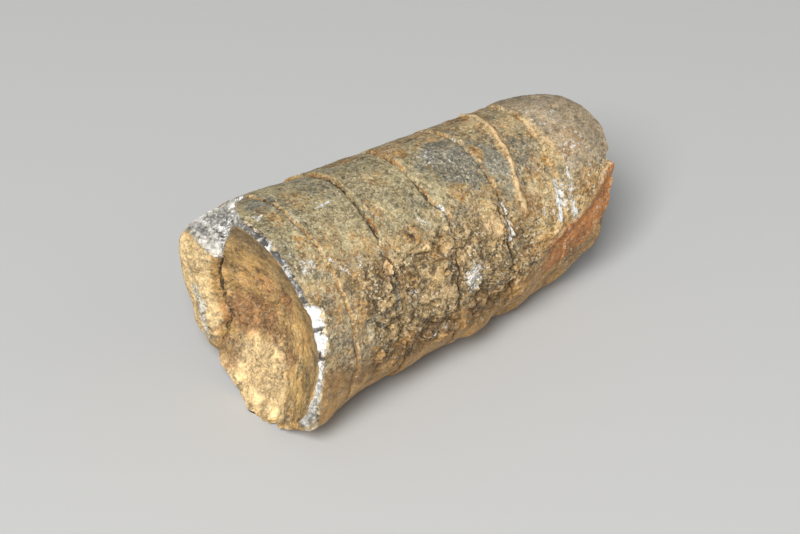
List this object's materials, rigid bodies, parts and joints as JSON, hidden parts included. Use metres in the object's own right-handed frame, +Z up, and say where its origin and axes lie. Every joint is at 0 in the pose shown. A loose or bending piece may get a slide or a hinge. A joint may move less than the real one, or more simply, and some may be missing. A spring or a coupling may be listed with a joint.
{
  "type": "orthoceras fossil",
  "caption": "Broken length of a ringed, tapering straight-shelled cephalopod fossil in limestone, with a hollow septum at its wide end, lying on its side.",
  "frame": {"origin": "centre of the bounding box's bottom, on the surface the fossil lies on", "axes": "+X along the shell from its wide hollow end to its narrow broken end, +Z up, -Y towards the knobbly crusted flank"},
  "size_m": [0.0584, 0.0312, 0.0309],
  "materials": {
    "orthoceras_fossil": "weathered, matte, tan and ochre with grey and white calcite"
  },
  "bodies": {
    "root": {"orthoceras_fossil": "orthoceras_fossil"}
  },
  "joints": []
}
